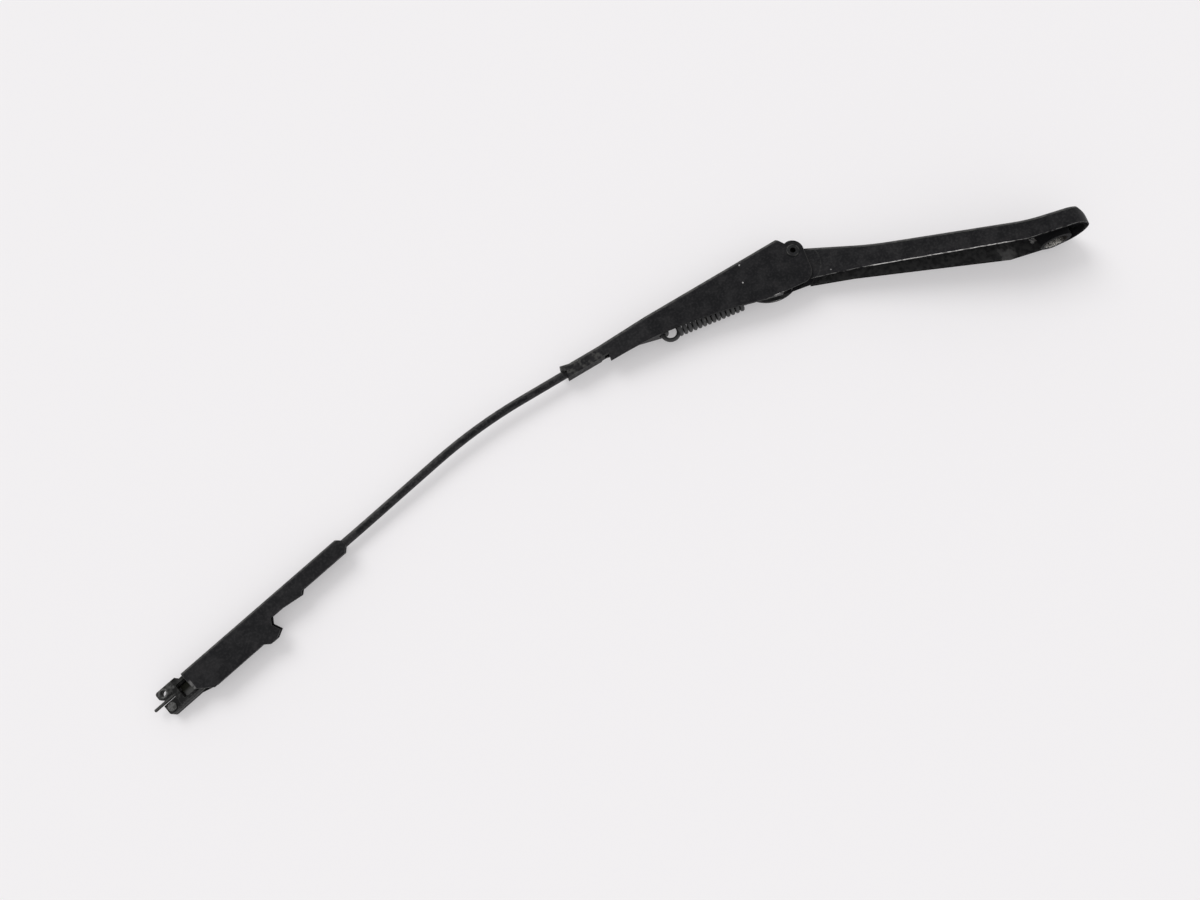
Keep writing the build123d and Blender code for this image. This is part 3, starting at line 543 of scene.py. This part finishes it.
def plastic_look(name, base):
    """Moulded plastic with a fine grain, scuffed pale along its edges, with painted shade and light on its
    pocket's floor.
    """
    look = Look(name, Specular_IOR_Level=SHEEN)
    out, up = tip_place(look)
    lug = look.product(look.spread(out, *LUG_OUT), look.spread(up, *LUG_UP))
    pale = look.product(look.edges(PLASTIC_EDGE), look.blotches(*PLASTIC_EDGE_BLOTCHES))
    pale = look.sum(pale, look.blotches(*PLASTIC_BLOTCHES))
    pale = look.sum(pale, look.product(lug, look.blotches(*LUG_BLOTCHES)))
    rim = look.within(look.away(blade_pivot(), (1, 1, 0)), *PIVOT_RIM)
    rim = look.product(rim, look.blotches(*PIVOT_BLOTCHES))
    floor = look.within(look.axis(2), *POCKET_FLOOR)
    # Painted light and shade: the pocket's floor is dark, and pale from 4.6 to 6.6 mm below the pivot
    grime = look.mix(look.spread(up, *POCKET_LIGHT_STEP), POCKET_SHADE, PLASTIC_BRIGHT)
    colour = look.mix(floor, look.mix(pale, base, PLASTIC_PALE), grime)
    look.set("Base Color", look.mix(rim, colour, PLASTIC_BRIGHT))
    look.set("Roughness", look.blotches(*PLASTIC_ROUGH))
    look.relief(PLASTIC_GRAIN, PLASTIC_WAVES)
    return look.material


def dress(material, *nodes):
    """Gives the solids of these nodes one material."""
    for node in nodes:
        mesh = frame["nodes"][node].data
        mesh.materials.clear()
        mesh.materials.append(material)


def tube(name, points, radius, sides):
    """Round wire along a smooth path, closed at both ends."""
    vertices = []
    count = len(points)
    across = None
    for index, point in enumerate(points):
        ahead = points[min(index + 1, count - 1)]
        behind = points[max(index - 1, 0)]
        along = (ahead - behind).normalized()
        if across is None:
            across = along.orthogonal()
        across = (across - along * across.dot(along)).normalized()
        other = along.cross(across)
        for side in range(sides):
            angle = tau * side / sides
            vertices.append(point + (across * cos(angle) + other * sin(angle)) * radius)
    faces = [list(range(sides))[::-1], list(range((count - 1) * sides, count * sides))]
    for index in range(count - 1):
        for side in range(sides):
            after = (side + 1) % sides
            low = index * sides
            high = low + sides
            faces.append((low + side, low + after, high + after, high + side))
    mesh = bpy.data.meshes.new(name)
    mesh.from_pydata(vertices, [], faces)
    for polygon in mesh.polygons:
        polygon.use_smooth = len(polygon.vertices) == 4
    piece = bpy.data.objects.new(name, mesh)
    bpy.context.scene.collection.objects.link(piece)
    return piece


def arc(sweep):
    """Angles of an arc in even steps, from 0 to the sweep."""
    steps = ceil(STEPS_PER_TURN * sweep / tau)
    return [sweep * step / steps for step in range(steps + 1)]


def end_loop(outward, radius, lean):
    """Wire from the coil's end to its axis, then round the loop, in the coil's own frame."""
    leaving = Vector((0, cos(lean), sin(lean))) * outward
    out = Vector((0, 0, outward))
    inward = (out - leaving * out.dot(leaving)).normalized()
    half = COIL_RADIUS / 2
    middle = Vector((half, 0, 0))
    points = []
    for angle in arc(pi)[1:]:
        points.append(middle * (1 + cos(angle)) + leaving * (half * sin(angle)))
    for angle in arc(LOOP_SWEEP)[1:]:
        points.append(inward * (radius * (1 - cos(angle))) - leaving * (radius * sin(angle)))
    return points


def spring(material):
    """Coil with a hook on the rod's side and a loop on the link's side, stretching between them."""
    low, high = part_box("tension_spring")
    line = Vector(named(frame["joints"], "spring_stretch")["axis"]).normalized()
    lean = atan2(PITCH, tau * COIL_RADIUS)
    reach = HOOK_RADIUS + WIRE / 2
    hook = Vector((low.x + reach, low.y + reach, (low.z + high.z) / 2))
    start = hook + line * (HOOK_RADIUS * cos(lean))
    up = Vector((0, 0, 1))
    side = line.cross(up)
    turn = tau * TURNS

    def placed(point, advance, angle):
        x = point.x * cos(angle) - point.y * sin(angle)
        y = point.x * sin(angle) + point.y * cos(angle)
        return start + up * x + side * y + line * (point.z + advance)

    path = [placed(point, 0, 0) for point in reversed(end_loop(-1, HOOK_RADIUS, lean))]
    for angle in arc(turn):
        path.append(placed(Vector((COIL_RADIUS, 0, 0)), PITCH * angle / tau, angle))
    path += [placed(point, PITCH * TURNS, turn) for point in end_loop(1, LOOP_RADIUS, lean)]
    piece = tube("spring_wire", path, WIRE / 2, WIRE_SIDES)
    piece.data.materials.append(material)
    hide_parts("tension_spring")
    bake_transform(piece)


def floor_look():
    """Pale paper that partly glows where it is seen, so that shadows on it stay faint."""
    look = Look("floor_paper", Roughness=FLOOR_ROUGH, Specular_IOR_Level=SHEEN)
    look.set("Base Color", FLOOR_COLOUR)
    seen = look.add("LightPath", output="Is Camera Ray")
    for ray in ("Is Glossy Ray", "Is Transmission Ray"):
        seen = look.sum(seen, look.add("LightPath", output=ray))
    share = look.product(seen, FLOOR_GLOW)
    glow = look.add("Emission", {"Color": FLOOR_COLOUR})
    paper = look.add("MixShader", {0: share, 1: look.shader.outputs[0], 2: glow})
    look.feed(look.tree.nodes["Material Output"].inputs["Surface"], paper)
    return look.material


def studio():
    """Floor under the part, one soft key light, and a sky that is palest at the horizon."""
    floor_height = cad_box[0].z
    bpy.ops.mesh.primitive_plane_add(size=FLOOR_SIZE, location=(AIM.x, AIM.y, floor_height))
    floor = bpy.context.object
    floor.name = "floor"
    floor.data.materials.append(floor_look())

    key = bpy.data.objects.new("key", bpy.data.lights.new("key", "SUN"))
    key.data.energy = KEY_STRENGTH
    key.data.angle = KEY_ANGLE
    key.rotation_mode = "QUATERNION"
    key.rotation_quaternion = KEY_TRAVEL.to_track_quat("-Z", "Y")
    bpy.context.scene.collection.objects.link(key)

    world = bpy.data.worlds.new("studio")
    world.use_nodes = True
    tree = world.node_tree
    sky = tree.nodes.new("ShaderNodeTexCoord")
    height = tree.nodes.new("ShaderNodeSeparateXYZ")
    shade = tree.nodes.new("ShaderNodeMapRange")
    shade.inputs["To Min"].default_value = HORIZON
    shade.inputs["To Max"].default_value = ZENITH
    tree.links.new(sky.outputs["Generated"], height.inputs[0])
    tree.links.new(height.outputs["Z"], shade.inputs["Value"])
    tree.links.new(shade.outputs[0], tree.nodes["Background"].inputs["Strength"])
    tree.nodes["Background"].inputs["Color"].default_value = (1, 1, 1, 1)
    bpy.context.scene.world = world


def camera():
    """Camera at the photograph's viewing angle."""
    back = Vector((
        -sin(CAMERA_TURN) * cos(CAMERA_ELEVATION),
        -cos(CAMERA_TURN) * cos(CAMERA_ELEVATION),
        sin(CAMERA_ELEVATION),
    ))
    eye = bpy.data.objects.new("camera", bpy.data.cameras.new("camera"))
    eye.data.sensor_fit = "HORIZONTAL"
    eye.data.sensor_width = SENSOR_WIDTH
    eye.data.lens = LENS
    eye.data.clip_start = CLIP_START
    eye.location = AIM + back * CAMERA_DISTANCE
    eye.rotation_mode = "QUATERNION"
    eye.rotation_quaternion = (-back).to_track_quat("-Z", "Y")
    bpy.context.scene.collection.objects.link(eye)
    bpy.context.scene.camera = eye


head_coat = coat_look("coat_head", head_bare, head_pale, HEAD_HOLLOW, under=HEAD_UNDER_SHEEN)
rod_coat = coat_look("coat_rod", dusty=ROD_DUST, under=ROD_UNDER_SHEEN)
bush_brass = metal_look("bush_brass", BRASS, BRASS_GRIME, STAIN_SIZE)
wire = spring_look()
dress(head_coat, "arm_head")
dress(coat_look("coat_channel", channel_bare, channel_pale, CHANNEL_HOLLOW), "arm_channel")
dress(coat_look("coat_tip", tip_bare), "tip_channel")
dress(rod_coat, "wiper_rod", "tip_rivet_inner", "tip_rivet_outer")
dress(hub_look(), "spindle_hub")
dress(pin_look(), "hinge_pin")
dress(metal_look("pin_steel", STEEL, STEEL_GRIME, STAIN_SIZE), "link_pin")
dress(metal_look("rivet_zinc", ZINC, ZINC_GRIME, RIVET_STAIN_SIZE), "coupler_rivet")
dress(bush_brass, "hinge_bush_near", "hinge_bush_far")
dress(plastic_look("moulding_plastic", PLASTIC), "blade_coupler")
dress(plastic_look("peg_plastic", PEG), "latch_peg")
spring(wire)
dress(wire, "spring_link")
studio()
camera()
bpy.context.scene.view_settings.view_transform = "Standard"
